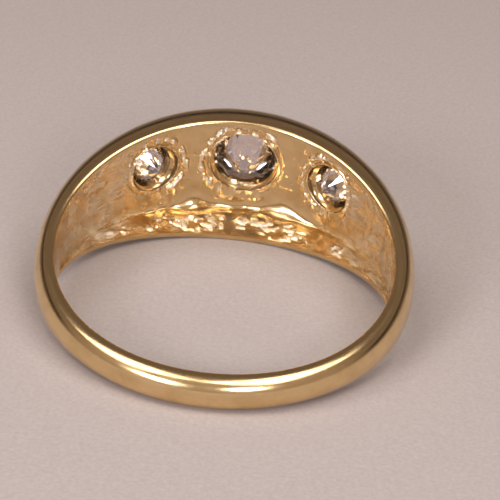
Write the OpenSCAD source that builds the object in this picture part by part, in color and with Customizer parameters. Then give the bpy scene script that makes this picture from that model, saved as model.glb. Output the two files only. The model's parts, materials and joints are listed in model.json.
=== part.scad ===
// Three-stone flush-set ring: a domed band, scooped out behind its head,
// and three round brilliants that sit point-down in drilled seats.
// Finger axis along Z, head towards +Y, origin at the centre of the finger hole.

/* [Finger hole] */
// Inside diameter of the band
bore_d = 17.3; // [14:0.1:21]

/* [Band] */
// Width across the head
head_w = 7.9; // [6.5:0.1:10]
// Width across the back of the shank
shank_w = 1.85; // [1.5:0.05:3]
// Thickness of the head over the finger
head_t = 3.9; // [3.2:0.05:4.8]
// Thickness of the shank at its sides
side_t = 0.88; // [0.74:0.02:1.4]
// Thickness of the shank at its back
back_t = 1.1; // [0.8:0.05:1.8]
// Thickness at the rims, where the dome begins
rim_t = 0.25; // [0.15:0.05:0.5]
// Depth of the rounding inside each rim
rim_round = 0.16; // [0.1:0.02:0.3]
// Fullness of the dome, 2 is an ellipse and more is squarer
dome_fullness = 2.1; // [2:0.1:3.5]
// How soon the width falls away from the head
width_taper = 1.95; // [1.4:0.05:2.6]
// How soon the thickness falls away from the head
thick_taper = 3.9; // [3.2:0.1:5.5]

/* [Scooped back of the head] */
// Gold left between the scoop and the top of the head
floor_t = 1.8; // [1.5:0.05:2.2]
// Angle from the head at which the scoop runs out
scoop_reach = 85; // [75:1:88]
// How soon the scoop's depth falls away from the head
scoop_taper = 3; // [2.5:0.1:4.5]
// Land left between the scoop and the rounding of each rim
scoop_land = 0.2; // [0.1:0.02:0.3]
// Slope of the scoop's side walls
scoop_slope = 14; // [5:1:20]

/* [Stones] */
// Diameter of the centre stone
centre_d = 3.7; // [3:0.1:4.5]
// Diameter of each side stone
side_d = 2.75; // [2:0.05:3.4]
// Gold left along the head between neighbouring stones
stone_gap = 3.1; // [1.2:0.1:3.8]
// Drop of each table below the top of the dome
table_drop = 0.35; // [0.25:0.01:0.45]

/* [Seats] */
// Clearance all round a stone in its seat
stone_fit = 0.02; // [0.01:0.005:0.04]
// Width of the bearing under each girdle
bearing = 0.15; // [0.1:0.01:0.25]
// How far the burnished lip reaches over each girdle
lip = 0.1; // [0.06:0.01:0.15]
// Countersink at the inner end of each hole
hole_flare = 0.18; // [0.06:0.02:0.24]
// Height of the collar round each hole in the scoop
collar_h = 0.12; // [0.05:0.01:0.3]
// Width of the collar round each hole in the scoop
collar_w = 0.28; // [0.15:0.01:0.4]

/* [Hidden] */

bore_r = bore_d / 2;
rim_r = bore_r + rim_t;
stations = 96;
dome_steps = 7;
rim_steps = 3;
bore_fn = 180;
seat_fn = 64;
overrun = 0.5;            // how far a cutter runs past what it cuts
core_r = bore_r - 0.6;    // the blank's inner face, which the bore takes away
rim_run_in = 0.08;        // the blank's rim narrows by this inside the bore
run_out = 0.4;            // depth inside the bore at which the scoop stops rising

// proportions of a round brilliant, as shares of its diameter, and its angles
table_share = 0.56;
star_share = 0.76;
girdle_share = 0.025;
lower_share = 0.2;
crown_angle = 34;
pavilion_angle = 41;
lip_flare = 30;           // opening of the burnished edge above a stone, from its axis

// share of a head dimension that is left at an angle from the head
function falloff(angle, power) = pow((1 + cos(angle)) / 2, power);

function half_w(angle) = (shank_w + (head_w - shank_w) * falloff(angle, width_taper)) / 2;

function thick(angle) =
    side_t + (head_t - side_t) * falloff(angle, thick_taper)
    + (back_t - side_t) * falloff(angle + 180, thick_taper);

function scoop_depth(angle) =
    let (end = falloff(scoop_reach, scoop_taper))
    max(-run_out, (head_t - floor_t) * (falloff(angle, scoop_taper) - end) / (1 - end));

// point at a radius and height, at an angle from the head
function ring_point(angle, rz) = [rz[0] * sin(angle), rz[0] * cos(angle), rz[1]];

// dome from the crest to the top rim, as [radius, height]
function dome_half(angle) = [
    for (i = [0 : dome_steps])
        let (turn = 90 * i / dome_steps, rise = thick(angle) - rim_t)
        [rim_r + rise * pow(cos(turn), 2 / dome_fullness),
         half_w(angle) * pow(sin(turn), 2 / dome_fullness)]
];

// rounding from the top rim into the bore
function rim_half(angle) = [
    for (i = [1 : rim_steps])
        let (turn = 80 * i / rim_steps)
        [rim_r - rim_t * sin(turn), half_w(angle) - rim_round * (1 - cos(turn))],
    [core_r, half_w(angle) - rim_round - rim_run_in]
];

// side wall, crease and floor of the scoop, as shares of its depth and of its floor's width
scoop_section = [[0.78, 1], [0.92, 0.94], [0.98, 0.8], [1, 0.5]];

function scoop_half(angle) =
    let (deep = bore_r + scoop_depth(angle) - core_r,
         mouth = half_w(angle) - rim_round - rim_run_in - scoop_land,
         bottom = mouth - deep * tan(scoop_slope))
    [
        [core_r, mouth],
        for (s = scoop_section) [core_r + deep * s[0], bottom * s[1]],
        [core_r + deep, 0]
    ];

function section_half(angle) = concat(dome_half(angle), rim_half(angle), scoop_half(angle));

// whole section, the upper half and then its mirror without the two middle points
function section(angle) =
    let (half = section_half(angle), last = len(half) - 1)
    concat(half, [for (i = [last - 1 : -1 : 1]) [half[i][0], -half[i][1]]]);

module band_blank() {
    sides = len(section(0));
    points = [
        for (s = [0 : stations - 1])
            let (angle = 360 * s / stations)
            for (rz = section(angle)) ring_point(angle, rz)
    ];
    faces = [
        for (s = [0 : stations - 1], i = [0 : sides - 1])
            let (a = s * sides, b = ((s + 1) % stations) * sides, j = (i + 1) % sides)
            each [[a + i, b + j, a + j], [a + i, b + i, b + j]]
    ];
    polyhedron(points = points, faces = faces, convexity = 10);
}

// the gap between stones is measured along the girdles' arc
head_r = bore_r + head_t;
side_angle = (centre_d / 2 + stone_gap + side_d / 2) / (head_r - table_drop) * 180 / PI;

// tilt of the dome's surface at an angle, away from a circle about the finger
function dome_tilt(angle) =
    let (step = 0.5)
    atan((thick(angle - step) - thick(angle + step))
         / ((bore_r + thick(angle)) * 2 * step * PI / 180));

// moves a stone or its seat from the origin, table up, to its place at an angle
module at_stone(angle) {
    top = ring_point(angle, [bore_r + thick(angle), 0]);
    translate(top) rotate([0, 0, -angle - dome_tilt(angle)]) rotate([-90, 0, 0])
        translate([0, 0, -table_drop]) children();
}

function crown_h(d) = d / 2 * (1 - table_share) * tan(crown_angle);
function girdle_h(d) = d * girdle_share;
function pavilion_h(d) = d / 2 * tan(pavilion_angle);

// ring of points on a stone, at a radius, a height and a first angle
function stone_ring(radius, height, count, first) = [
    for (i = [0 : count - 1])
        let (angle = first + 360 * i / count)
        [radius * cos(angle), radius * sin(angle), height]
];

// round brilliant with its table at z = 0 and its culet below
module brilliant(d) {
    r = d / 2;
    top = -crown_h(d);
    bottom = top - girdle_h(d);
    culet = bottom - pavilion_h(d);
    star_z = -(r * star_share * cos(22.5) - r * table_share) * tan(crown_angle);
    lower_z = culet + r * lower_share * cos(22.5) * tan(pavilion_angle);
    points = concat(
        stone_ring(r * table_share, 0, 8, 0),
        stone_ring(r * star_share, star_z, 8, 22.5),
        stone_ring(r, top, 16, 0),
        stone_ring(r, bottom, 16, 0),
        stone_ring(r * lower_share, lower_z, 8, 22.5),
        [[0, 0, culet]]
    );
    star = 8;
    upper = 16;
    lower = 32;
    keel = 48;
    tip = 56;
    faces = concat(
        [[for (i = [7 : -1 : 0]) i]],
        [for (i = [0 : 7]) let (n = (i + 1) % 8) each [
            [i, n, star + i],
            [i, star + i, upper + 2 * i, star + (i + 7) % 8],
            [star + i, upper + 2 * i + 1, upper + 2 * i],
            [star + i, upper + 2 * n, upper + 2 * i + 1],
            [keel + i, lower + 2 * i, lower + 2 * i + 1],
            [keel + i, lower + 2 * i + 1, lower + 2 * n],
            [tip, keel + (i + 7) % 8, lower + 2 * i, keel + i]
        ]],
        [for (i = [0 : 15]) let (n = (i + 1) % 16)
            [upper + i, upper + n, lower + n, lower + i]]
    );
    polyhedron(points = points, faces = faces, convexity = 4);
}

// height of the scoop's surface on the axis of a stone, below the stone's table
function scoop_z(angle) =
    table_drop - (thick(angle) - scoop_depth(angle)) * cos(dome_tilt(angle));

// countersunk hole, bearing cone, girdle wall, burnished lip and flare, round the axis of a stone
module seat(d, angle) {
    top = -crown_h(d);
    bottom = top - girdle_h(d);
    wall_r = d / 2 + stone_fit;
    hole_r = d / 2 - bearing;
    lip_r = d / 2 - lip;
    lip_z = top + stone_fit + (wall_r - lip_r) * tan(crown_angle);
    low = -table_drop - floor_t - collar_h - overrun;
    high = overrun;
    rotate_extrude($fn = seat_fn) polygon([
        [0, low],
        [hole_r + hole_flare, low],
        [hole_r + hole_flare, scoop_z(angle)],
        [hole_r, scoop_z(angle) + hole_flare],
        [hole_r, bottom - (wall_r - hole_r) * tan(pavilion_angle)],
        [wall_r, bottom],
        [wall_r, top + stone_fit],
        [lip_r, lip_z],
        [lip_r + (high - lip_z) * tan(lip_flare), high],
        [0, high]
    ]);
}

// raised collar that the drilled hole leaves inside the scoop
module collar(d, angle) {
    translate([0, 0, scoop_z(angle) - collar_h])
        cylinder(r = d / 2 - bearing + hole_flare + collar_w, h = collar_h + floor_t / 3,
                 $fn = seat_fn);
}

// diameter and place of each stone
stones = [[centre_d, 0], [side_d, -side_angle], [side_d, side_angle]];

module band() {
    color("goldenrod") difference() {
        union() {
            difference() {
                band_blank();
                cylinder(r = bore_r, h = head_w + 2 * overrun, center = true, $fn = bore_fn);
            }
            for (s = stones) at_stone(s[1]) collar(s[0], s[1]);
        }
        for (s = stones) at_stone(s[1]) seat(s[0], s[1]);
    }
}

module stone(place) {
    color("lavender") at_stone(place[1]) brilliant(place[0]);
}

module centre_stone() { stone(stones[0]); }

module left_stone() { stone(stones[1]); }

module right_stone() { stone(stones[2]); }

band();
centre_stone();
left_stone();
right_stone();
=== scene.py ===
"""Three-stone flush-set gold ring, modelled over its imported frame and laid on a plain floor."""

import json
import math

import bpy
import numpy as np
from mathutils import Matrix, Vector, geometry, noise


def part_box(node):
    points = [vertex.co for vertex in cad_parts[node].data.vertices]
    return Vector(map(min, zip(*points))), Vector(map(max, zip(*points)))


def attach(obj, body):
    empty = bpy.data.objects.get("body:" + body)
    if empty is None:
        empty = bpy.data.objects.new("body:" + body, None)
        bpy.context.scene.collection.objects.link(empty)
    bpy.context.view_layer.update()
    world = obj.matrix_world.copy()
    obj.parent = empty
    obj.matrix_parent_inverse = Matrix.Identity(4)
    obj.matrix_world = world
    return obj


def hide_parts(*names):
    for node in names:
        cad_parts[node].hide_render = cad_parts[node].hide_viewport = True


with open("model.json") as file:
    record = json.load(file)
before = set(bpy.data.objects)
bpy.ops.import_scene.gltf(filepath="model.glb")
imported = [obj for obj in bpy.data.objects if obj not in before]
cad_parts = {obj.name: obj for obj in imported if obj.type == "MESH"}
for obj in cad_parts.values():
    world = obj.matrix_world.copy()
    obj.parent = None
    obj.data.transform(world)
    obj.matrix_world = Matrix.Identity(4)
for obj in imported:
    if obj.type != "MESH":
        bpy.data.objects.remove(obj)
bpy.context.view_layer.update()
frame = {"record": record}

bl_info = {
    "name": "Flush-set three-stone ring",
    "version": (1, 0, 0),
    "blender": (4, 5, 0),
    "location": "View3D > Sidebar > Ring",
    "description": "Models a domed gold ring with three flush-set brilliants, and the stage it lies on",
    "category": "Object",
}

MM = 0.001
BAND_LOW, BAND_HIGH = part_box("band")
FINGER = next(m for m in frame["record"]["mounts"] if m["name"] == "finger_bore")


# ---------------------------------------------------------------- settings

def length(name, default, text):
    """A length, in metres, from a default in millimetres."""
    return bpy.props.FloatProperty(
        name=name, description=text, default=default * MM, min=0, precision=5, unit="LENGTH")


def angle(name, default, text):
    """An angle, in radians, from a default in degrees."""
    return bpy.props.FloatProperty(
        name=name, description=text, default=math.radians(default), unit="ROTATION")


def number(name, default, text):
    """A plain number."""
    return bpy.props.FloatProperty(name=name, description=text, default=default)


def tint(name, default, text):
    """A colour as an sRGB hex value."""
    return bpy.props.StringProperty(name=name, description=text, default=default)


class BandSettings(bpy.types.PropertyGroup):
    """Sizes and colours of the gold band."""

    bore_d: length("Finger hole", 2 * FINGER["dims"]["r_mm"], "Inside diameter of the band")
    head_w: length("Head width", (BAND_HIGH[2] - BAND_LOW[2]) / MM, "Width across the head")
    shank_w: length("Shank width", 1.85, "Width across the back of the shank")
    head_t: length("Head thickness", 3.9, "Thickness of the head over the finger")
    side_t: length("Side thickness", 0.88, "Thickness of the shank at its sides")
    back_t: length("Back thickness", 1.1, "Thickness of the shank at its back")
    rim_t: length("Rim thickness", 0.25, "Thickness where the dome begins")
    rim_round: length("Rim rounding", 0.16, "Depth of the rounding inside each rim")
    fullness: number("Dome fullness", 2.1, "2 is an ellipse and more is squarer")
    width_taper: number("Width taper", 1.95, "How soon the width falls away from the head")
    thick_taper: number("Thickness taper", 3.9, "How soon the thickness falls away from the head")
    floor_t: length("Scoop floor", 1.8, "Gold left between the scoop and the top of the head")
    scoop_reach: angle("Scoop reach", 85, "Angle from the head at which the scoop runs out")
    scoop_taper: number("Scoop taper", 3, "How soon the scoop's depth falls away from the head")
    scoop_land: length("Scoop land", 0.2, "Land left between the scoop and the rim's rounding")
    scoop_slope: angle("Scoop slope", 14, "Slope of the scoop's side walls")
    lump: length("Lumps", 0.05, "Height of the soft lumps that casting left in the scoop")
    waver: length("Crease waver", 0.1, "How far the scoop's crease wanders to either side")
    skin: length("Cast skin", 0.1, "Height of the rough skin where no polisher reached")
    burr_h: length("Burr height", 0.2, "Height of the burr round each drilled hole")
    burr_w: length("Burr width", 0.42, "Width of the burr round each drilled hole")
    gold_hex: tint("Gold", "#E8CA96", "Colour of the polished gold")
    # painted highlight: a nearly white colour laid on the cast skin and on the burrs, standing in for the
    # light that sparkles off them
    pale_sheen_hex: tint("Painted sheen", "#EDE4D4", "Painted pale highlight on the matt cast skin and on the fresh burrs")
    grime_hex: tint("Grime", "#AB8850", "Colour of the gold where handling has dulled it")


class StoneSettings(bpy.types.PropertyGroup):
    """Sizes and colours of the stones and of their seats."""

    centre_d: length("Centre stone", 3.7, "Diameter of the centre stone")
    side_d: length("Side stones", 2.75, "Diameter of each side stone")
    gap: length("Gap", 3.1, "Gold left along the head between neighbouring stones")
    table_drop: length("Table drop", 0.35, "Drop of each table below the top of the dome")
    fit: length("Fit", 0.02, "Clearance all round a stone in its seat")
    bearing: length("Bearing", 0.15, "Width of the bearing under each girdle")
    lip: length("Lip", 0.1, "How far the burnished lip reaches over each girdle")
    flare: length("Flare", 0.18, "Countersink at the inner end of each hole")
    table: number("Table", 0.56, "Width of the table as a share of the diameter")
    star: number("Star tips", 0.76, "Width across the star tips as a share of the diameter")
    girdle: number("Girdle", 0.025, "Height of the girdle as a share of the diameter")
    lower: number("Lower tips", 0.2, "Width across the lower facets' tips as a share of the diameter")
    crown_angle: angle("Crown angle", 34, "Slope of the crown's main facets")
    pavilion_angle: angle("Pavilion angle", 41, "Slope of the pavilion's main facets")
    lip_angle: angle("Lip angle", 30, "Opening of the burnished lip above a stone, from its axis")
    stone_hex: tint("Stone", "#F1ECF2", "Colour of the diamonds")


class StageSettings(bpy.types.PropertyGroup):
    """The floor, the lights and the camera."""

    floor_hex: tint("Floor", "#ACA19C", "Colour of the floor")
    room_hex: tint("Room", "#7C6E66", "Colour of the room's own soft light")
    azimuth: angle("Azimuth", 2.7, "Camera angle round the finger axis, from the back of the shank")
    elevation: angle("Elevation", 36.3, "Camera angle above the ring's mid-plane")
    roll: angle("Roll", 4.9, "Turn of the camera about its own line of sight")
    distance: length("Distance", 103.8, "Camera distance from the point it looks at")
    lens: number("Lens", 142.9, "Focal length in millimetres on a 36 mm sensor")
    aim_x: length("Aim to the right", 1.12, "Where the camera looks, right of the finger axis")
    aim_y: length("Aim to the head", 2.62, "Where the camera looks, from the finger axis to the head")


# ---------------------------------------------------------------- shape of the ring, in metres

def falloff(turn, power):
    """Share of a head size that is left at an angle from the head."""
    return ((1 + np.cos(turn)) / 2) ** power


def half_w(b, turn):
    """Half the band's width at an angle."""
    return (b.shank_w + (b.head_w - b.shank_w) * falloff(turn, b.width_taper)) / 2


def thick(b, turn):
    """The dome's height over the finger hole at an angle."""
    swell = (b.head_t - b.side_t) * falloff(turn, b.thick_taper)
    back = (b.back_t - b.side_t) * falloff(turn + math.pi, b.thick_taper)
    return b.side_t + swell + back


def scoop_depth(b, turn):
    """The scoop's depth over the finger hole at an angle, none past its reach."""
    end = falloff(b.scoop_reach, b.scoop_taper)
    share = (falloff(turn, b.scoop_taper) - end) / (1 - end)
    return (b.head_t - b.floor_t) * max(0.0, share)


def dome_tilt(b, turn):
    """Tilt of the dome's surface at an angle, away from a circle about the finger."""
    step = math.radians(0.5)
    outside = b.bore_d / 2 + thick(b, turn)
    return math.atan((thick(b, turn - step) - thick(b, turn + step)) / (outside * 2 * step))


def stone_places(b, s):
    """Name, diameter and angle from the head of each stone."""
    girdle_r = b.bore_d / 2 + b.head_t - s.table_drop
    side = (s.centre_d / 2 + s.gap + s.side_d / 2) / girdle_r
    return [("centre", s.centre_d, 0.0), ("left", s.side_d, -side), ("right", s.side_d, side)]


def stone_matrix(b, s, turn):
    """Moves a stone or its seat from the origin, table up, to its place at an angle."""
    outside = b.bore_d / 2 + thick(b, turn)
    return (Matrix.Translation((outside * math.sin(turn), outside * math.cos(turn), 0))
            @ Matrix.Rotation(-turn - dome_tilt(b, turn), 4, "Z")
            @ Matrix.Rotation(math.radians(-90), 4, "X")
            @ Matrix.Translation((0, 0, -s.table_drop)))


def scoop_level(b, s, turn):
    """Height of the scoop's surface on a stone's axis, below its table."""
    return s.table_drop - (thick(b, turn) - scoop_depth(b, turn)) * math.cos(dome_tilt(b, turn))


DOME_POINTS = 49
RIM_POINTS = 7
LAND_POINTS = 4
WALL_POINTS = 13
CREASE_POINTS = 11
FLOOR_POINTS = 46

SEAT_STEPS = 96
HEAVY_BURRS = {"centre": -150, "left": -20, "right": -130}  # degrees round each hole


def crease_softness(b, turn):
    """0 where the lower crease is tight, 1 where casting filled it with a wide soft swelling."""
    along = turn * (b.bore_d / 2 + b.head_t - b.floor_t) / MM
    swell = math.exp(-((along + 2.7) / 0.9) ** 2) + math.exp(-((along - 2.6) / 1.4) ** 2)
    uneven = 0.12 * noise.noise(Vector((along * 1.3, 4, 0))) * falloff(turn, 1)
    return min(1.0, max(0.0, swell + uneven))


def section(b, turn):
    """Outline of the band at an angle as radii and heights, from the lower rim round the dome."""
    bore_r = b.bore_d / 2
    rim_r = bore_r + b.rim_t
    w = half_w(b, turn)
    power = 2 / b.fullness
    round_dome = np.linspace(-math.pi / 2, math.pi / 2, DOME_POINTS)
    dome_r = rim_r + (thick(b, turn) - b.rim_t) * np.cos(round_dome).clip(0) ** power
    dome_z = w * np.sign(round_dome) * np.abs(np.sin(round_dome)) ** power

    round_rim = np.linspace(0, math.pi / 2, RIM_POINTS + 1)[1:]
    rim_run_r = rim_r - b.rim_t * np.sin(round_rim)
    rim_run_z = w - b.rim_round * (1 - np.cos(round_rim))

    deep = scoop_depth(b, turn)
    mouth = w - b.rim_round - b.scoop_land
    bottom = max(mouth - deep * math.tan(b.scoop_slope), 0.2 * w)
    along = turn * (bore_r + deep) / MM
    low = bottom + b.waver * noise.noise(Vector((along * 0.8, 0, 2))) * min(1, deep / MM)
    land_z = np.linspace(rim_run_z[-1], mouth, LAND_POINTS + 1)[1:]
    land_r = np.full(LAND_POINTS, bore_r)
    wall = np.linspace(0, 1, WALL_POINTS + 1)[1:]
    crease = np.linspace(0, math.pi / 2, CREASE_POINTS + 1)[1:]
    halves = []
    for foot, soft in ((bottom, 0.3), (low, crease_softness(b, turn))):
        run_r, run_z, power = 0.22 + 0.25 * soft, 0.5 - 0.12 * soft, 0.4 + 0.6 * soft
        wall_r = bore_r + wall * (1 - run_r) * deep
        wall_z = mouth + wall * (foot - mouth)
        crease_r = bore_r + deep * (1 - run_r + run_r * np.sin(crease) ** power)
        crease_z = foot * (1 - run_z + run_z * np.cos(crease).clip(0) ** power)
        halves.append((np.concatenate([rim_run_r, land_r, wall_r, crease_r]),
                       np.concatenate([rim_run_z, land_z, wall_z, crease_z])))
    (upper_r, upper_z), (lower_r, lower_z) = halves
    floor_z = np.linspace(upper_z[-1], -lower_z[-1], FLOOR_POINTS + 2)[1:-1]
    floor_r = np.full(FLOOR_POINTS, bore_r + deep)
    return (np.concatenate([dome_r, upper_r, floor_r, lower_r[::-1], dome_r[:1]]),
            np.concatenate([dome_z, upper_z, floor_z, -lower_z[::-1], dome_z[:1]]))


def stations():
    """Angles of the band's sections from the back, close together behind the head."""
    half = np.concatenate([np.arange(0, 40, 0.44), np.arange(40, 78, 0.85), np.arange(78, 179, 2.4), [180]])
    return np.radians(np.concatenate([-half[:0:-1], half]))


# ---------------------------------------------------------------- marks that casting and drilling left

def ease(low, high, value):
    """0 at one value, 1 at another and smooth between them."""
    share = min(1.0, max(0.0, (value - low) / (high - low)))
    return share * share * (3 - 2 * share)


def mound(centre, width, value):
    """A smooth bump, 1 at its centre."""
    return math.exp(-((value - centre) / width) ** 2)


def grain(x, y, seed):
    """Smooth noise from -1 to 1, over features about 1 across."""
    return noise.noise(Vector((x, y, seed)))


def crust(x, y, seed):
    """Noise of sharp crests between hollows, in three sizes, from 0 to about 1."""
    total = 0.0
    for i, share in enumerate((0.55, 0.3, 0.15)):
        total += share * (1 - abs(2.2 * grain(x * 2 ** i, y * 2 ** i, seed + 7 * i)))
    return total


def hole_burr(b, s, place, d, heavy, point, seed):
    """Height of the bead, groove and ragged burr round a drilled hole, at a point of the scoop."""
    local = place @ point
    across = math.hypot(local.x, local.y)
    out = (across - (d / 2 - s.bearing + s.flare)) / MM
    if out > 3 * b.burr_w / MM or local.z > 0:
        return 0.0
    out = max(out, 0.0)
    x, y = local.x / across, local.y / across
    rim = across / MM
    wander = 0.35 * grain(x * 1.5, y * 1.5, seed) + 0.2 * grain(x * rim * 3, y * rim * 3, seed)
    reach = b.burr_w / MM * (1 + wander)
    lean = 0.55 + 0.45 * (x * math.cos(heavy) + y * math.sin(heavy))
    ragged = 0.6
    for share, fine, layer in ((1.2, 1.3, 3), (0.9, 3, 5), (0.6, 5.5, 9)):
        ragged += share * grain(x * rim * fine, y * rim * fine, seed + layer)
    burr = b.burr_h * lean * min(1.6, max(0.0, ragged)) * mound(reach, 0.17, out)
    bead = 0.35 * b.burr_h * mound(0.05, 0.06, out)
    groove = 0.3 * b.burr_h * mound(0.22, 0.1, out)
    return burr + bead - groove


def skin_share(b, turn, r, z):
    """How much of the rough cast skin is left at a place in the scoop, from 0 to 1."""
    up_wall = (r - b.bore_d / 2) / scoop_depth(b, turn)
    across = (z + r) / MM
    patchy = ease(-0.05, 0.35, 0.6 * grain(turn * 10, across, 3) + 0.7 * grain(turn * 26, across * 4, 5))
    low = patchy * ease(0.02, 0.15, up_wall) * ease(0.72, 0.5, up_wall) * ease(0, -0.3, z / half_w(b, turn))
    streaky = ease(-0.3, 0.3, 0.7 * grain(turn * 7, across * 2, 9) + 0.6 * grain(turn * 16, across * 4.5, 12))
    at_end = ease(math.radians(30), math.radians(42), abs(turn)) * ease(0.02, 0.2, up_wall)
    return max(low, (0.3 + 0.5 * streaky) * at_end)


def scoop_height(b, s, seats, turn, point, skin):
    """How far the scoop stands out of its true shape at a point, and the burrs' part of that."""
    along, across = turn * 10, (point.z + math.hypot(point.x, point.y)) / MM
    height = b.lump * (grain(along * 0.55, across * 0.6, 3) + 0.4 * grain(along * 1.5, across * 1.4, 8))
    height += b.skin * skin * (crust(along * 1.2, across * 3.6, 1) - 0.5)
    height += 0.45 * b.skin * skin * (1 + grain(along * 4, across * 6, 21))
    near = min((point - place.inverted().translation).length for place, _, _ in seats) / MM
    fleck = max(0.0, grain(along * 3.2, across * 3.2, 30) - 0.3)
    burr = 1.2 * b.burr_h * fleck * ease(3.6, 2.6, near) * (1 - skin)
    for i, (place, d, heavy) in enumerate(seats):
        burr += hole_burr(b, s, place, d, heavy, point, 11.0 * i)
    return height + burr, burr


# ---------------------------------------------------------------- hand tools

def deselect():
    if bpy.context.object and bpy.context.object.mode != "OBJECT":
        bpy.ops.object.mode_set(mode="OBJECT")
    bpy.ops.object.select_all(action="DESELECT")


def take(piece):
    """Makes a piece the only selected object and the active one."""
    deselect()
    piece.select_set(True)
    bpy.context.view_layer.objects.active = piece
    return piece


def apply_place(piece, matrix):
    """Moves a piece by a matrix and applies it, so that its place is in its mesh."""
    take(piece)
    piece.matrix_world = matrix @ piece.matrix_world
    bpy.ops.object.transform_apply(location=True, rotation=True, scale=True)


def clean_shell(piece, merge):
    """Merges doubled points and turns all faces outwards."""
    take(piece)
    bpy.ops.object.mode_set(mode="EDIT")
    bpy.ops.mesh.select_all(action="SELECT")
    bpy.ops.mesh.remove_doubles(threshold=merge)
    bpy.ops.mesh.normals_make_consistent(inside=False)
    bpy.ops.object.mode_set(mode="OBJECT")


def cut(piece, cutter):
    """Takes a cutter's shape out of a piece, and removes the cutter."""
    take(piece)
    boolean = piece.modifiers.new("cut", "BOOLEAN")
    boolean.operation = "DIFFERENCE"
    boolean.solver = "EXACT"
    boolean.object = cutter
    bpy.ops.object.modifier_apply(modifier=boolean.name)
    bpy.data.objects.remove(cutter)


# ---------------------------------------------------------------- band

def wrap_band(b, sheet):
    """Bends a flat grid round the finger into the band's shape, and marks which of it is scoop."""
    turns = stations()
    outlines = [section(b, float(turn)) for turn in turns]
    across = len(outlines[0][0])
    mesh = sheet.data
    flat = np.array([v.co for v in mesh.vertices])
    column = np.rint((flat[:, 0] + 0.5) * (len(turns) - 1)).astype(int)
    row = np.rint((flat[:, 1] + 0.5) * (across - 1)).astype(int)
    r = np.array([outline[0] for outline in outlines])[column, row]
    z = np.array([outline[1] for outline in outlines])[column, row]
    co = np.stack([r * np.sin(turns[column]), r * np.cos(turns[column]), z], axis=1)
    mesh.vertices.foreach_set("co", co.ravel())

    first = DOME_POINTS + RIM_POINTS + LAND_POINTS
    share = ((row - first) / 3).clip(0, 1) * ((across - 2 - RIM_POINTS - LAND_POINTS - row) / 3).clip(0, 1)
    depth = np.array([scoop_depth(b, float(turn)) for turn in turns])[column]
    scoop = share * (depth / (0.3 * MM)).clip(0, 1)
    mesh.attributes.new("scoop", "FLOAT", "POINT").data.foreach_set("value", scoop)

    corner = np.zeros(len(mesh.loops), dtype=int)
    mesh.loops.foreach_get("vertex_index", corner)
    head_r, head_z = outlines[len(turns) // 2]
    lay = np.concatenate([[0], np.cumsum(np.hypot(np.diff(head_r), np.diff(head_z)))])
    mid_r = (b.bore_d + b.head_t) / 2
    uv = np.stack([turns[column[corner]] * mid_r, lay[row[corner]]], axis=1) / MM
    mesh.uv_layers[0].data.foreach_set("uv", uv.ravel())
    mesh.update()


def refine_round_holes(b, s, band, seats):
    """Halves the size of the scoop's faces round each hole, where the burrs need a finer mesh."""
    take(band)
    bpy.ops.object.mode_set(mode="EDIT")
    bpy.ops.mesh.select_all(action="DESELECT")
    bpy.ops.object.mode_set(mode="OBJECT")
    mesh = band.data
    scoop = np.zeros(len(mesh.vertices))
    mesh.attributes["scoop"].data.foreach_get("value", scoop)
    for face in mesh.polygons:
        if scoop[face.vertices[0]] < 1:
            continue
        for place, d, _ in seats:
            local = place @ face.center
            across = math.hypot(local.x, local.y)
            if local.z < 0 and d / 2 - s.bearing < across < d / 2 + 2.2 * b.burr_w:
                face.select = True
    bpy.ops.object.mode_set(mode="EDIT")
    bpy.ops.mesh.subdivide(number_cuts=1)
    bpy.ops.object.mode_set(mode="OBJECT")


def rough_out(b, s, band, seats):
    """Raises the scoop's lumps, cast skin, burrs and flecks along the surface's own normals, and keeps a mask
    of skin and burrs for their roughness and their painted pale highlight.
    """
    mesh = band.data
    scoop = np.zeros(len(mesh.vertices))
    mesh.attributes["scoop"].data.foreach_get("value", scoop)
    skin = np.zeros(len(mesh.vertices))
    co = np.array([v.co for v in mesh.vertices])
    for vertex, share in zip(mesh.vertices, scoop):
        if share > 0:
            point = vertex.co.copy()
            turn = math.atan2(point.x, point.y)
            skin[vertex.index] = share * skin_share(b, turn, math.hypot(point.x, point.y), point.z)
            height, burr = scoop_height(b, s, seats, turn, point, skin[vertex.index])
            co[vertex.index] += np.array(vertex.normal) * share * height
            # the burrs join the cast-skin mask, which roughens them and also paints them with the pale
            # highlight colour
            skin[vertex.index] = max(skin[vertex.index], 0.9 * share * ease(0.1, 0.5, burr / b.burr_h))
    mesh.vertices.foreach_set("co", co.ravel())
    # this mask marks the rough cast skin and the burrs, and also where the painted pale highlight goes
    mesh.attributes.new("cast_skin_and_sheen", "FLOAT", "POINT").data.foreach_set("value", skin)
    mesh.update()


def seat_profile(b, s, d, turn):
    """Half outline of the tool that opens a stone's hole, bearing, girdle wall and lip."""
    top = -d / 2 * (1 - s.table) * math.tan(s.crown_angle)
    bottom = top - d * s.girdle
    wall_r = d / 2 + s.fit
    hole_r = d / 2 - s.bearing
    lip_r = d / 2 - s.lip
    lip_z = top + s.fit + (wall_r - lip_r) * math.tan(s.crown_angle)
    scoop = scoop_level(b, s, turn)
    high = 0.5 * MM
    return [(0, scoop - 1 * MM), (hole_r + s.flare, scoop - 1 * MM), (hole_r + s.flare, scoop),
            (hole_r + 0.85 * s.flare, scoop + 0.25 * s.flare),
            (hole_r, scoop + s.flare), (hole_r, bottom - (wall_r - hole_r) * math.tan(s.pavilion_angle)),
            (wall_r, bottom), (wall_r, top + s.fit), (lip_r, lip_z),
            (lip_r + (high - lip_z) * math.tan(s.lip_angle), high), (0, high)]


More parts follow.
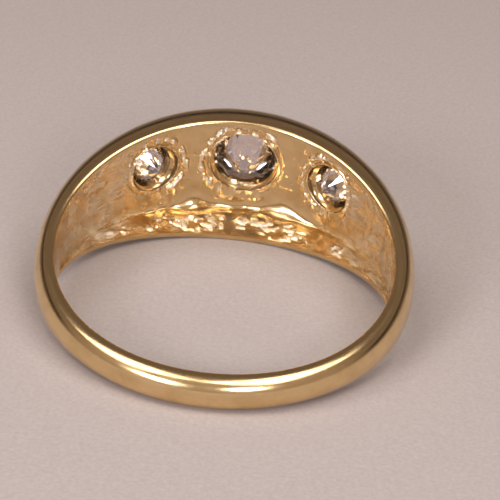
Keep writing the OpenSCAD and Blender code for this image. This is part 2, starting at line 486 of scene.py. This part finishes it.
def turn_cutter(profile, steps):
    """Spins a half outline round the vertical axis into a closed tool."""
    deselect()
    mesh = bpy.data.meshes.new("cutter")
    points = [(r, 0, z) for r, z in profile]
    mesh.from_pydata(points, [(i, i + 1) for i in range(len(points) - 1)], [])
    cutter = bpy.data.objects.new("cutter", mesh)
    bpy.context.collection.objects.link(cutter)
    take(cutter)
    bpy.ops.object.mode_set(mode="EDIT")
    bpy.ops.mesh.select_all(action="SELECT")
    bpy.ops.mesh.spin(steps=steps, angle=2 * math.pi, center=(0, 0, 0), axis=(0, 0, 1))
    bpy.ops.object.mode_set(mode="OBJECT")
    clean_shell(cutter, 0.001 * MM)
    return cutter


def check_holes(band, seats):
    """Stops the script if a hole is shut on its axis, because a failed cut gives no error."""
    take(band)
    bpy.context.view_layer.update()
    for place, _, _ in seats:
        middle = place.inverted()
        below = middle @ Vector((0, 0, -5 * MM))
        if band.ray_cast(below, middle.to_3x3() @ Vector((0, 0, 1)))[0]:
            raise RuntimeError("a stone's hole is still shut")


class RING_OT_band(bpy.types.Operator):
    """Models the gold band with its scoop, seats and burrs"""

    bl_idname = "ring.band"
    bl_label = "Band"

    def execute(self, context):
        b, s = context.scene.ring_band, context.scene.ring_stones
        deselect()
        bpy.ops.mesh.primitive_grid_add(
            x_subdivisions=len(stations()) - 1, y_subdivisions=len(section(b, 0.0)[0]) - 1, size=1)
        band = context.object
        band.name = "gold_band"
        wrap_band(b, band)
        clean_shell(band, 0.0005 * MM)
        seats = [(stone_matrix(b, s, turn).inverted(), d, math.radians(HEAVY_BURRS[name]))
                 for name, d, turn in stone_places(b, s)]
        refine_round_holes(b, s, band, seats)
        for _, d, turn in stone_places(b, s):
            cutter = turn_cutter(seat_profile(b, s, d, turn), SEAT_STEPS)
            apply_place(cutter, stone_matrix(b, s, turn))
            cut(band, cutter)
        rough_out(b, s, band, seats)
        check_holes(band, seats)
        bpy.ops.object.shade_smooth_by_angle(angle=math.radians(45))
        band.data.materials.clear()
        band.data.materials.append(polished_gold(b))
        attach(band, "root")
        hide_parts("band")
        return {"FINISHED"}


# ---------------------------------------------------------------- stones

def stone_ring(radius, height, first):
    """Eight points round a stone of diameter 1, from a first angle in degrees."""
    turns = [math.radians(first + 45 * i) for i in range(8)]
    return [Vector((radius / 2 * math.cos(t), radius / 2 * math.sin(t), height)) for t in turns]


def facet_planes(s):
    """Three points on each facet of a round brilliant of diameter 1, its table at height 0."""
    tip = math.cos(math.radians(22.5))
    top = -(1 - s.table) / 2 * math.tan(s.crown_angle)
    bottom = top - s.girdle
    culet = bottom - math.tan(s.pavilion_angle) / 2
    star_z = -(s.star * tip - s.table) / 2 * math.tan(s.crown_angle)
    lower_z = culet + s.lower / 2 * tip * math.tan(s.pavilion_angle)
    table = stone_ring(s.table, 0, 0)
    star = stone_ring(s.star, star_z, 22.5)
    upper = [stone_ring(1, top, 0), stone_ring(1, top, 22.5)]
    lower = [stone_ring(1, bottom, 0), stone_ring(1, bottom, 22.5)]
    keel = stone_ring(s.lower, lower_z, 22.5)
    point = Vector((0, 0, culet))
    planes = [(table[0], table[2], table[4])]
    for i in range(8):
        n = (i + 1) % 8
        planes += [
            (table[i], table[n], star[i]),
            (table[i], star[i], star[i - 1]),
            (star[i], upper[0][i], upper[1][i]),
            (star[i], upper[1][i], upper[0][n]),
            (keel[i], lower[0][i], lower[1][i]),
            (keel[i], lower[1][i], lower[0][n]),
            (point, keel[i], keel[i - 1]),
        ]
    return planes, culet


def cut_brilliant(s):
    """Cuts a rough cylinder facet by facet into a round brilliant of diameter 1."""
    planes, culet = facet_planes(s)
    deselect()
    bpy.ops.mesh.primitive_cylinder_add(
        vertices=64, radius=0.5, depth=1 - culet, location=(0, 0, (1 + culet) / 2 - 0.2))
    gem = bpy.context.object
    bpy.ops.object.transform_apply(location=True, rotation=True, scale=True)
    heart = Vector((0, 0, culet / 3))
    bpy.ops.object.mode_set(mode="EDIT")
    for a, b, c in planes:
        normal = geometry.normal([a, b, c])
        if normal.dot(a - heart) < 0:
            normal.negate()
        bpy.ops.mesh.select_all(action="SELECT")
        bpy.ops.mesh.bisect(
            plane_co=a, plane_no=normal, use_fill=True, clear_outer=True, threshold=1e-5)
    bpy.ops.object.mode_set(mode="OBJECT")
    clean_shell(gem, 1e-4)
    bpy.ops.object.shade_flat()
    for face in gem.data.polygons:
        face.material_index = int(abs(face.normal.z) < 0.05)
    return gem


class RING_OT_stones(bpy.types.Operator):
    """Cuts the three diamonds and drops them in their seats"""

    bl_idname = "ring.stones"
    bl_label = "Stones"

    def execute(self, context):
        b, s = context.scene.ring_band, context.scene.ring_stones
        model = cut_brilliant(s)
        for material in (diamond(s), bruted_girdle(s)):
            model.data.materials.append(material)
        for name, d, turn in stone_places(b, s):
            stone = bpy.data.objects.new(name + "_diamond", model.data.copy())
            context.collection.objects.link(stone)
            apply_place(stone, stone_matrix(b, s, turn) @ Matrix.Scale(d, 4))
            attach(stone, "root")
            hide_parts(name + "_stone")
        bpy.data.objects.remove(model)
        return {"FINISHED"}


# ---------------------------------------------------------------- materials

def linear(hex_colour):
    """Linear colour with full alpha from an sRGB hex value."""
    levels = [int(hex_colour.lstrip("#")[i:i + 2], 16) / 255 for i in (0, 2, 4)]
    return [c / 12.92 if c <= 0.04045 else ((c + 0.055) / 1.055) ** 2.4 for c in levels] + [1.0]


def new_material(name):
    material = bpy.data.materials.new(name)
    material.use_nodes = True
    return material, material.node_tree.nodes, material.node_tree.nodes["Principled BSDF"]


def add(nodes, kind, values=None, feeds=None, **settings):
    """Adds a node, with its settings, the values of its inputs and what feeds them."""
    node = nodes.new("ShaderNode" + kind)
    for name, value in settings.items():
        setattr(node, name, value)
    for socket, value in (values or {}).items():
        node.inputs[socket].default_value = value
    for socket, output in (feeds or {}).items():
        node.id_data.links.new(output, node.inputs[socket])
    return node


def feed(material, output, socket):
    material.node_tree.links.new(output, socket)


def polished_gold(b):
    """Worn 14 carat gold: a soft mirror with fine scratches, and a duller cast skin in the scoop that, with
    the burrs, is tinted nearly white as a painted highlight.
    """
    material, nodes, gold = new_material("polished_gold")
    per_mm = (1 / MM, 1 / MM, 1 / MM)
    place = add(nodes, "TexCoord").outputs["Object"]
    place_mm = add(nodes, "Mapping", {"Scale": per_mm}, {"Vector": place}).outputs[0]
    lay = add(nodes, "UVMap").outputs[0]
    # mask of the rough cast skin and the burrs: it roughens them and carries their painted pale highlight
    skin = add(nodes, "Attribute", attribute_name="cast_skin_and_sheen").outputs["Fac"]

    # polishing lines run round the band, 3 mm long and a few hundredths wide
    lines_at = add(nodes, "Mapping", {"Scale": (0.35, 14, 1)}, {"Vector": lay}).outputs[0]
    lines = add(nodes, "TexNoise", {"Scale": 1, "Detail": 3, "Roughness": 0.6}, {"Vector": lines_at})
    wear = add(nodes, "TexNoise", {"Scale": 0.9, "Detail": 4, "Roughness": 0.6}, {"Vector": place_mm})
    grit = add(nodes, "TexNoise", {"Scale": 9, "Detail": 5, "Roughness": 0.65}, {"Vector": place_mm})

    # dull patches where handling has worn the polish, and the rough skin in the scoop
    soft = add(nodes, "MapRange", {"From Min": 0.35, "From Max": 0.7, "To Min": 0.1, "To Max": 0.2},
               {"Value": wear.outputs["Fac"]})
    lined = add(nodes, "Math", {1: 0.1}, {0: lines.outputs["Fac"], 2: soft.outputs[0]},
                operation="MULTIPLY_ADD")
    dull = add(nodes, "Math", {1: 0.14}, {0: skin, 2: lined.outputs[0]}, operation="MULTIPLY_ADD")
    feed(material, dull.outputs[0], gold.inputs["Roughness"])

    stain = add(nodes, "MapRange", {"From Min": 0.42, "From Max": 0.72, "To Max": 0.35},
                {"Value": wear.outputs["Fac"]})
    colour = add(nodes, "Mix", {6: linear(b.gold_hex), 7: linear(b.grime_hex)},
                 {0: stain.outputs[0]}, data_type="RGBA")
    # painted highlight: the cast skin and the burrs are tinted nearly white to stand in for their sparkle
    pale_sheen_mix = add(nodes, "Mix", {7: linear(b.pale_sheen_hex)}, {0: skin, 6: colour.outputs[2]}, data_type="RGBA")
    feed(material, pale_sheen_mix.outputs[2], gold.inputs["Base Color"])

    scratch = add(nodes, "Bump", {"Strength": 0.12, "Distance": 0.01 * MM},
                  {"Height": lines.outputs["Fac"]})
    pits = add(nodes, "Math", {}, {0: grit.outputs["Fac"], 1: skin}, operation="MULTIPLY")
    cast = add(nodes, "Bump", {"Strength": 0.8, "Distance": 0.06 * MM},
               {"Height": pits.outputs[0], "Normal": scratch.outputs[0]})
    feed(material, cast.outputs[0], gold.inputs["Normal"])
    gold.inputs["Metallic"].default_value = 1.0
    return material


def diamond(s):
    """Clear diamond: sharp facets that bend and throw light strongly, IOR 2.417."""
    material, nodes, gem = new_material("cut_diamond")
    place = add(nodes, "TexCoord").outputs["Object"]
    place_mm = add(nodes, "Mapping", {"Scale": (1 / MM, 1 / MM, 1 / MM)}, {"Vector": place}).outputs[0]
    film = add(nodes, "TexNoise", {"Scale": 1.5, "Detail": 3}, {"Vector": place_mm})
    haze = add(nodes, "MapRange", {"From Min": 0.5, "From Max": 0.75, "To Max": 0.05},
               {"Value": film.outputs["Fac"]})
    feed(material, haze.outputs[0], gem.inputs["Roughness"])
    gem.inputs["Base Color"].default_value = linear(s.stone_hex)
    gem.inputs["Transmission Weight"].default_value = 1.0
    gem.inputs["IOR"].default_value = 2.417
    return material


def bruted_girdle(s):
    """Ground girdle: the same diamond, left matt and whitish by the bruting wheel."""
    material, nodes, girdle = new_material("bruted_girdle")
    place = add(nodes, "TexCoord").outputs["Object"]
    place_mm = add(nodes, "Mapping", {"Scale": (1 / MM, 1 / MM, 1 / MM)}, {"Vector": place}).outputs[0]
    ground = add(nodes, "TexNoise", {"Scale": 30, "Detail": 2}, {"Vector": place_mm})
    matt = add(nodes, "MapRange", {"To Min": 0.35, "To Max": 0.6}, {"Value": ground.outputs["Fac"]})
    feed(material, matt.outputs[0], girdle.inputs["Roughness"])
    girdle.inputs["Base Color"].default_value = linear(s.stone_hex)
    girdle.inputs["Transmission Weight"].default_value = 0.7
    girdle.inputs["IOR"].default_value = 2.417
    return material


def plain_paper(stage):
    """Pale matt studio paper: nearly even, with a faint tooth."""
    material, nodes, paper = new_material("pale_paper")
    place = add(nodes, "TexCoord").outputs["Object"]
    place_mm = add(nodes, "Mapping", {"Scale": (1 / MM, 1 / MM, 1 / MM)}, {"Vector": place}).outputs[0]
    tooth = add(nodes, "TexNoise", {"Scale": 5, "Detail": 3, "Roughness": 0.6}, {"Vector": place_mm})
    pale = linear(stage.floor_hex)
    colour = add(nodes, "Mix", {6: [0.8 * c for c in pale[:3]] + [1], 7: [1.15 * c for c in pale[:3]] + [1]},
                 {0: tooth.outputs["Fac"]}, data_type="RGBA")
    bump = add(nodes, "Bump", {"Strength": 0.2, "Distance": 0.05 * MM}, {"Height": tooth.outputs["Fac"]})
    feed(material, colour.outputs[2], paper.inputs["Base Color"])
    feed(material, bump.outputs[0], paper.inputs["Normal"])
    paper.inputs["Roughness"].default_value = 0.9
    return material


# ---------------------------------------------------------------- stage

def soft_box(name, place, aim, size, radiance, colour):
    """A rectangular studio light at a place, turned to a point, as bright as a surface of this radiance."""
    light = bpy.data.lights.new(name, "AREA")
    light.shape = "RECTANGLE"
    light.size, light.size_y = size
    light.energy = math.pi * radiance * size[0] * size[1]
    light.color = linear(colour)[:3]
    box = bpy.data.objects.new(name, light)
    bpy.context.collection.objects.link(box)
    box.location = place
    box.rotation_euler = (Vector(aim) - Vector(place)).to_track_quat("-Z", "Y").to_euler()


def soft_room(stage):
    """A dim room with a pale wall in front, and behind the ring a dark skirting under a paler wall."""
    world = bpy.data.worlds.new("room")
    world.use_nodes = True
    nodes = world.node_tree.nodes
    way = add(nodes, "TexCoord").outputs["Generated"]
    split = add(nodes, "SeparateXYZ", {}, {0: way}).outputs
    wall = add(nodes, "ValToRGB", {}, {0: split["Z"]})
    ramp = wall.color_ramp
    shade = linear(stage.room_hex)
    for place, share in ((0.05, 0.9), (0.1, 0.12), (0.24, 0.12), (0.31, 1.0), (0.5, 0.9), (0.62, 0.8)):
        stop = ramp.elements.new(place)
        stop.color = [share * c for c in shade[:3]] + [1]
    ramp.elements[0].color = ramp.elements[1].color
    ramp.elements[-1].color = ramp.elements[-2].color
    front = add(nodes, "MapRange", {"From Min": 0.15, "From Max": -0.25}, {"Value": split["Y"]})
    pale = [2.0 * c for c in shade[:3]] + [1]
    light = add(nodes, "Mix", {7: pale}, {0: front.outputs[0], 6: wall.outputs["Color"]}, data_type="RGBA")
    world.node_tree.links.new(light.outputs[2], nodes["Background"].inputs["Color"])
    return world


class RING_OT_stage(bpy.types.Operator):
    """Lays the floor under the ring, and sets the lights and the camera"""

    bl_idname = "ring.stage"
    bl_label = "Stage"

    def execute(self, context):
        b, stage = context.scene.ring_band, context.scene.ring_stage
        rim_r = b.bore_d / 2 + b.rim_t
        slope = math.atan2(half_w(b, 0.0) - half_w(b, math.pi), 2 * rim_r)
        deselect()
        bpy.ops.mesh.primitive_plane_add(size=1.6)
        paper = context.object
        paper.name = "floor"
        rest = Matrix.Translation((0, rim_r, -half_w(b, 0.0))) @ Matrix.Rotation(-slope, 4, "X")
        apply_place(paper, rest)
        paper.data.materials.append(plain_paper(stage))

        context.scene.world = soft_room(stage)
        # two wide boxes overhead for the long highlights, and two small lamps in front for the sparkle
        for name, middle, wide in (("left_box", -0.14, 0.16), ("right_box", 0.1, 0.2)):
            soft_box(name, (middle, -0.02, 0.27), (middle / 2, 0, 0), (wide, 0.18), 4.1, "#FFFBF8")
        soft_box("left_lamp", (-0.13, -0.21, 0.15), (0, 0, 0), (0.08, 0.06), 28, "#F4F5FF")
        soft_box("right_lamp", (0.09, -0.22, 0.16), (0, 0, 0), (0.06, 0.06), 28, "#F4F5FF")

        turn, high, roll = stage.azimuth, stage.elevation, stage.roll
        back = Vector((math.sin(turn) * math.cos(high), -math.cos(turn) * math.cos(high), math.sin(high)))
        level = Vector((math.cos(turn), math.sin(turn), 0))
        up = back.cross(level)
        right = math.cos(roll) * level + math.sin(roll) * up
        top = back.cross(right)
        eye = bpy.data.objects.new("camera", bpy.data.cameras.new("camera"))
        context.collection.objects.link(eye)
        eye.data.sensor_width = 36
        eye.data.lens = stage.lens
        eye.data.clip_start = 0.01
        place = Vector((stage.aim_x, stage.aim_y, 0)) + stage.distance * back
        eye.matrix_world = Matrix.Translation(place) @ Matrix((right, top, back)).transposed().to_4x4()
        context.scene.camera = eye
        context.scene.view_settings.view_transform = "Standard"
        return {"FINISHED"}


# ---------------------------------------------------------------- add-on

OPERATORS = (RING_OT_band, RING_OT_stones, RING_OT_stage)
SETTINGS = {"ring_band": BandSettings, "ring_stones": StoneSettings, "ring_stage": StageSettings}


class RING_PT_sidebar(bpy.types.Panel):
    """Sizes, colours and steps of the ring"""

    bl_label = "Ring"
    bl_idname = "RING_PT_sidebar"
    bl_space_type = "VIEW_3D"
    bl_region_type = "UI"
    bl_category = "Ring"

    def draw(self, context):
        for name, kind in SETTINGS.items():
            box = self.layout.box()
            for size in kind.__annotations__:
                box.prop(getattr(context.scene, name), size)
        for step in OPERATORS:
            self.layout.operator(step.bl_idname)


def register():
    for kind in (*SETTINGS.values(), *OPERATORS, RING_PT_sidebar):
        bpy.utils.register_class(kind)
    for name, kind in SETTINGS.items():
        setattr(bpy.types.Scene, name, bpy.props.PointerProperty(type=kind))


def unregister():
    for name in SETTINGS:
        delattr(bpy.types.Scene, name)
    for kind in reversed((*SETTINGS.values(), *OPERATORS, RING_PT_sidebar)):
        bpy.utils.unregister_class(kind)


def main():
    register()
    bpy.ops.ring.band()
    bpy.ops.ring.stones()
    bpy.ops.ring.stage()


if __name__ == "__main__":
    main()
